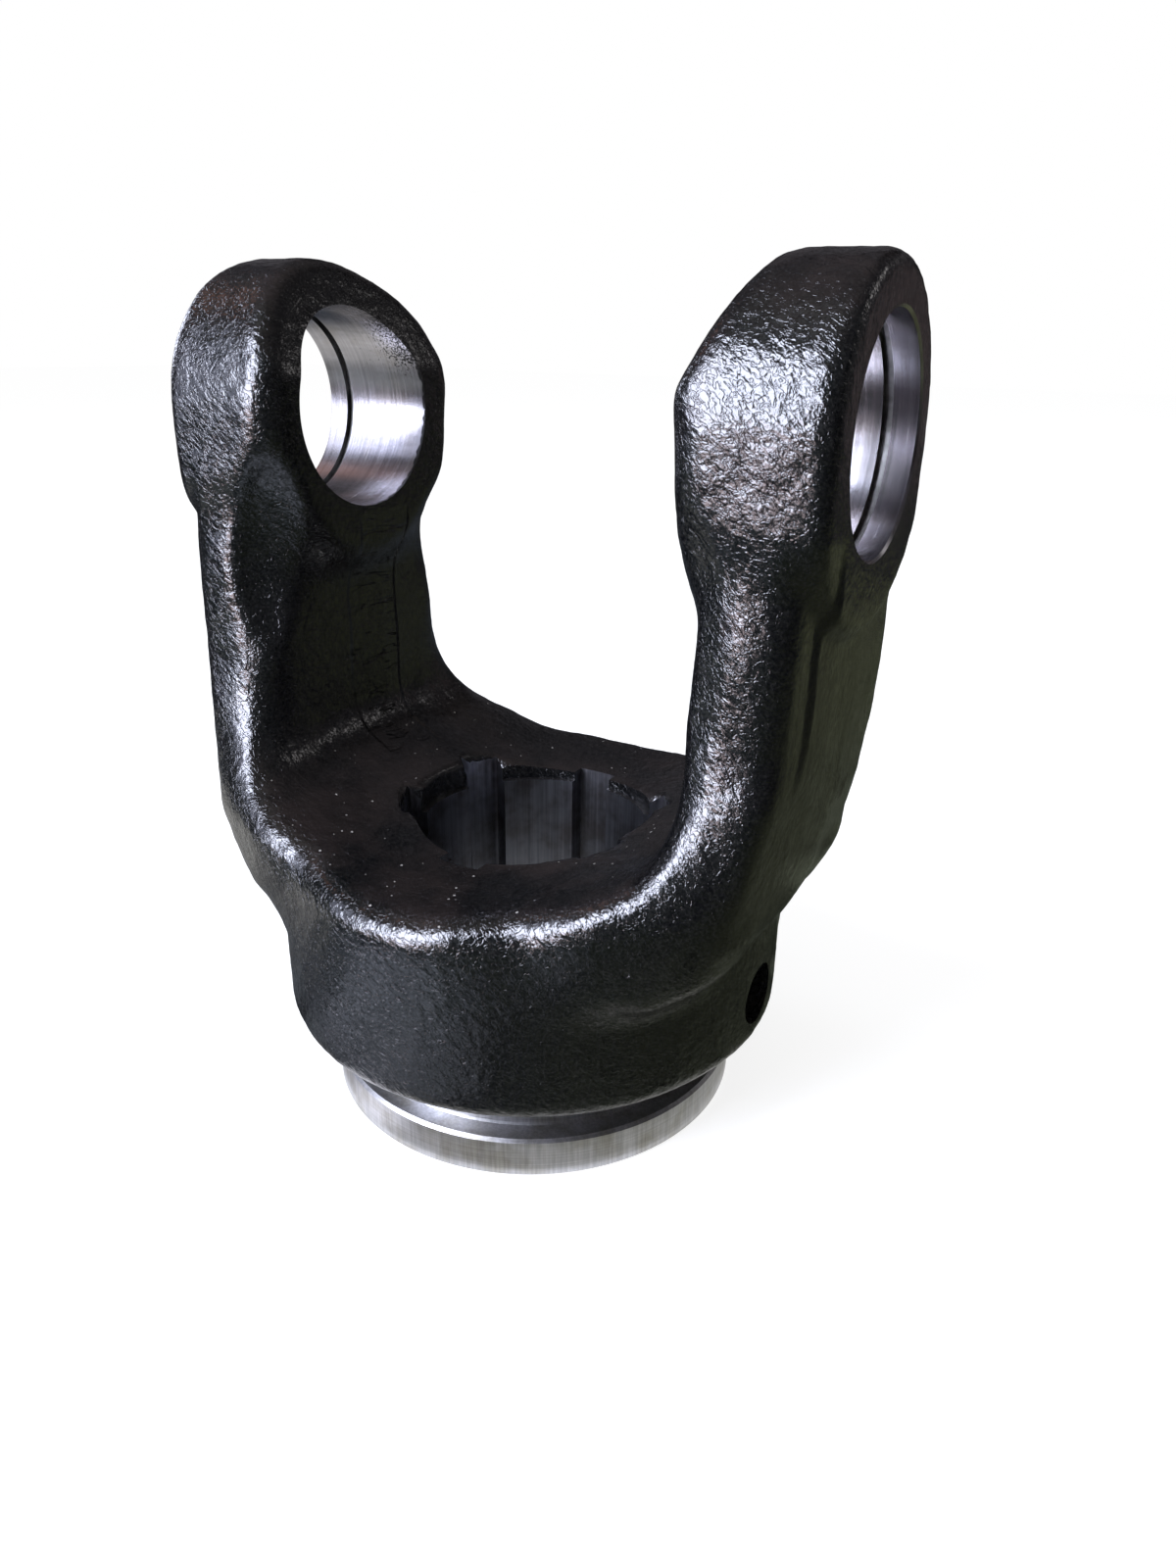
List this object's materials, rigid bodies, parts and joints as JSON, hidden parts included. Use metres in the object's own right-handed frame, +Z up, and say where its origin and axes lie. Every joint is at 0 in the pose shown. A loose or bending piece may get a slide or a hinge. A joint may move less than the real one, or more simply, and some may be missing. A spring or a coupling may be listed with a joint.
{
  "type": "shaft yoke",
  "caption": "Forged fork yoke with two bored ears for bearing cups, a grooved hub with a profile bore, a cross pin hole and a machined end ring.",
  "frame": {"origin": "centre of the hub's machined end face", "axes": "+Z up the hub's axis towards the ears, X along the bearing cups' axis"},
  "size_m": [0.1048, 0.084, 0.1313],
  "materials": {
    "forging": "gloss black paint over a forged skin, with bare machined bores and ring"
  },
  "bodies": {
    "root": {"yoke": "forging"}
  },
  "joints": []
}
